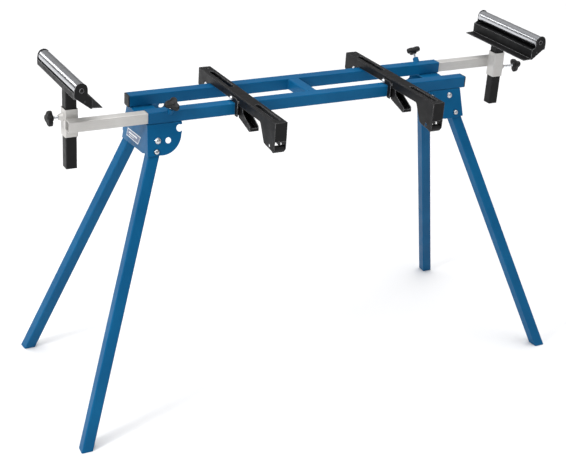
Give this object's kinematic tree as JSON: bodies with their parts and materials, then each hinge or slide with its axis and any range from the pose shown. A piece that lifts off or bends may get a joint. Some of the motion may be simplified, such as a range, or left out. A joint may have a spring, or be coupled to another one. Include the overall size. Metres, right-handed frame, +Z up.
{
  "type": "folding mitre saw stand",
  "caption": "Folding stand for a mitre saw: blue tube frame on folding legs, sliding saw brackets with clamp levers, and pull-out arms with height-adjustable rollers.",
  "frame": {"origin": "on the floor, at the centre of the whole object's footprint", "axes": "+X along the rails to the right of a person at the front, +Y to the rear, +Z up"},
  "size_m": [1.4, 0.5564, 0.88],
  "materials": {
    "blue_paint": "glossy powder coat",
    "black_paint": "semi-gloss black paint",
    "silver_paint": "satin light grey paint",
    "roller_steel": "bright turned steel",
    "zinc": "bright zinc plate",
    "black_plastic": "matte black plastic"
  },
  "bodies": {
    "frame": {"front_rail": "blue_paint", "rear_rail": "blue_paint", "rail_cap_front": "black_plastic", "rail_cap_rear": "black_plastic", "cross_member": "blue_paint", "clamp_nut_left": "blue_paint", "clamp_nut_right": "blue_paint", "leg_bracket_left": "blue_paint", "leg_bracket_right": "blue_paint", "pivot_bolt_front_left": "zinc", "pivot_bolt_rear_left": "zinc", "pivot_bolt_rear_right": "zinc", "pivot_bolt_front_right": "zinc"},
    "arm_left": {"arm_left": "silver_paint", "sleeve_left": "silver_paint", "sleeve_boss_left": "silver_paint"},
    "post_left": {"post_left": "black_paint", "roller_holder_left": "black_paint", "roller_axle_left": "zinc"},
    "roller_left": {"roller_left": "roller_steel", "roller_bush_front_left": "black_plastic", "roller_bush_rear_left": "black_plastic"},
    "height_knob_left": {"knob_height_left": "black_plastic", "stud_height_left": "zinc"},
    "arm_clamp_knob_left": {"knob_arm_clamp_left": "black_plastic", "stud_arm_clamp_left": "zinc"},
    "saw_bracket_left": {"saw_bracket_left": "black_paint", "nose_spacer_left": "black_plastic", "clamp_bolt_left": "zinc", "lever_pin_left": "zinc"},
    "clamp_lever_left": {"clamp_lever_left": "black_paint"},
    "clamp_jaw_left": {"clamp_jaw_left": "black_paint"},
    "arm_right": {"arm_right": "silver_paint", "sleeve_right": "silver_paint", "sleeve_boss_right": "silver_paint"},
    "post_right": {"post_right": "black_paint", "roller_holder_right": "black_paint", "roller_axle_right": "zinc"},
    "roller_right": {"roller_right": "roller_steel", "roller_bush_front_right": "black_plastic", "roller_bush_rear_right": "black_plastic"},
    "height_knob_right": {"knob_height_right": "black_plastic", "stud_height_right": "zinc"},
    "arm_clamp_knob_right": {"knob_arm_clamp_right": "black_plastic", "stud_arm_clamp_right": "zinc"},
    "saw_bracket_right": {"saw_bracket_right": "black_paint", "nose_spacer_right": "black_plastic", "clamp_bolt_right": "zinc", "lever_pin_right": "zinc"},
    "clamp_lever_right": {"clamp_lever_right": "black_paint"},
    "clamp_jaw_right": {"clamp_jaw_right": "black_paint"},
    "leg_front_left": {"leg_front_left": "blue_paint"},
    "lock_button_front_left": {"lock_button_front_left": "zinc"},
    "leg_rear_left": {"leg_rear_left": "blue_paint"},
    "lock_button_rear_left": {"lock_button_rear_left": "zinc"},
    "leg_rear_right": {"leg_rear_right": "blue_paint"},
    "lock_button_rear_right": {"lock_button_rear_right": "zinc"},
    "leg_front_right": {"leg_front_right": "blue_paint"},
    "lock_button_front_right": {"lock_button_front_right": "zinc"}
  },
  "joints": [
    {"name": "arm_left_slide", "type": "slide", "parent": "frame", "child": "arm_left", "axis": [-1, 0, 0], "range_m": [-0.155, 0.13]},
    {"name": "post_left_lift", "type": "slide", "parent": "arm_left", "child": "post_left", "axis": [0, 0, 1], "range_m": [-0.026, 0.09]},
    {"name": "roller_left_spin", "type": "hinge", "parent": "post_left", "child": "roller_left", "pos_m": [-0.64451, 0.00481, 0.8625], "axis": [0, 1, 0], "continuous": true},
    {"name": "height_knob_left_turn", "type": "hinge", "parent": "arm_left", "child": "height_knob_left", "pos_m": [-0.65601, -0.02889, 0.768], "axis": [-1, 0, 0], "range_deg": [0, 540]},
    {"name": "arm_clamp_knob_left_turn", "type": "hinge", "parent": "frame", "child": "arm_clamp_knob_left", "pos_m": [-0.40701, -0.07319, 0.77], "axis": [0, -0.5, 0.866], "range_deg": [0, 540]},
    {"name": "saw_bracket_left_slide", "type": "slide", "parent": "frame", "child": "saw_bracket_left", "axis": [1, 0, 0], "range_m": [-0.125, 0.165]},
    {"name": "clamp_lever_left_lift", "type": "hinge", "parent": "saw_bracket_left", "child": "clamp_lever_left", "pos_m": [-0.21851, -0.08569, 0.7765], "axis": [-1, 0, 0], "range_deg": [0, 31]},
    {"name": "clamp_jaw_left_release", "type": "slide", "parent": "saw_bracket_left", "child": "clamp_jaw_left", "axis": [0, -1, 0], "range_m": [0, 0.0025]},
    {"name": "arm_right_slide", "type": "slide", "parent": "frame", "child": "arm_right", "axis": [1, 0, 0], "range_m": [-0.155, 0.13]},
    {"name": "post_right_lift", "type": "slide", "parent": "arm_right", "child": "post_right", "axis": [0, 0, 1], "range_m": [-0.026, 0.09]},
    {"name": "roller_right_spin", "type": "hinge", "parent": "post_right", "child": "roller_right", "pos_m": [0.63199, 0.00481, 0.8625], "axis": [0, 1, 0], "continuous": true},
    {"name": "height_knob_right_turn", "type": "hinge", "parent": "arm_right", "child": "height_knob_right", "pos_m": [0.63899, 0.03851, 0.744], "axis": [1, 0, 0], "range_deg": [0, 540]},
    {"name": "arm_clamp_knob_right_turn", "type": "hinge", "parent": "frame", "child": "arm_clamp_knob_right", "pos_m": [0.38619, 0.08281, 0.77], "axis": [0, 0.6691, 0.7431], "range_deg": [0, 540]},
    {"name": "saw_bracket_right_slide", "type": "slide", "parent": "frame", "child": "saw_bracket_right", "axis": [1, 0, 0], "range_m": [-0.165, 0.09]},
    {"name": "clamp_lever_right_lift", "type": "hinge", "parent": "saw_bracket_right", "child": "clamp_lever_right", "pos_m": [0.21679, -0.08569, 0.7765], "axis": [-1, 0, 0], "range_deg": [0, 31]},
    {"name": "clamp_jaw_right_release", "type": "slide", "parent": "saw_bracket_right", "child": "clamp_jaw_right", "axis": [0, -1, 0], "range_m": [0, 0.0025]},
    {"name": "leg_front_left_fold", "type": "hinge", "parent": "frame", "child": "leg_front_left", "pos_m": [-0.44121, -0.08342, 0.70185], "axis": [0, -0.9659, 0.2588], "range_deg": [0, 98.1], "deforming": ["lock_button_front_left"]},
    {"name": "lock_button_front_left_press", "type": "slide", "parent": "leg_front_left", "child": "lock_button_front_left", "axis": [0, -0.9659, 0.2588], "range_m": [-0.005, 0], "stiffness_N_per_m": 800, "springref_m": 0.002, "deforming": ["lock_button_front_left"]},
    {"name": "leg_rear_left_fold", "type": "hinge", "parent": "frame", "child": "leg_rear_left", "pos_m": [-0.41381, 0.0869, 0.72474], "axis": [0, -0.9659, -0.2588], "range_deg": [0, 108.7], "deforming": ["lock_button_rear_left"]},
    {"name": "lock_button_rear_left_press", "type": "slide", "parent": "leg_rear_left", "child": "lock_button_rear_left", "axis": [0, 0.9659, 0.2588], "range_m": [-0.005, 0], "stiffness_N_per_m": 800, "springref_m": 0.002, "deforming": ["lock_button_rear_left"]},
    {"name": "leg_rear_right_fold", "type": "hinge", "parent": "frame", "child": "leg_rear_right", "pos_m": [0.41549, 0.09303, 0.70185], "axis": [0, 0.9659, 0.2588], "range_deg": [0, 96.4], "deforming": ["lock_button_rear_right"]},
    {"name": "lock_button_rear_right_press", "type": "slide", "parent": "leg_rear_right", "child": "lock_button_rear_right", "axis": [0, 0.9659, 0.2588], "range_m": [-0.005, 0], "stiffness_N_per_m": 800, "springref_m": 0.002, "deforming": ["lock_button_rear_right"]},
    {"name": "leg_front_right_fold", "type": "hinge", "parent": "frame", "child": "leg_front_right", "pos_m": [0.39299, -0.07728, 0.72474], "axis": [0, 0.9659, -0.2588], "range_deg": [0, 110.9], "deforming": ["lock_button_front_right"]},
    {"name": "lock_button_front_right_press", "type": "slide", "parent": "leg_front_right", "child": "lock_button_front_right", "axis": [0, -0.9659, 0.2588], "range_m": [-0.005, 0], "stiffness_N_per_m": 800, "springref_m": 0.002, "deforming": ["lock_button_front_right"]}
  ],
  "couplings": [
    {"joint": "clamp_jaw_left_release", "follows": "clamp_lever_left_lift", "m_per_rad": 0.004621},
    {"joint": "clamp_jaw_right_release", "follows": "clamp_lever_right_lift", "m_per_rad": 0.004621}
  ]
}
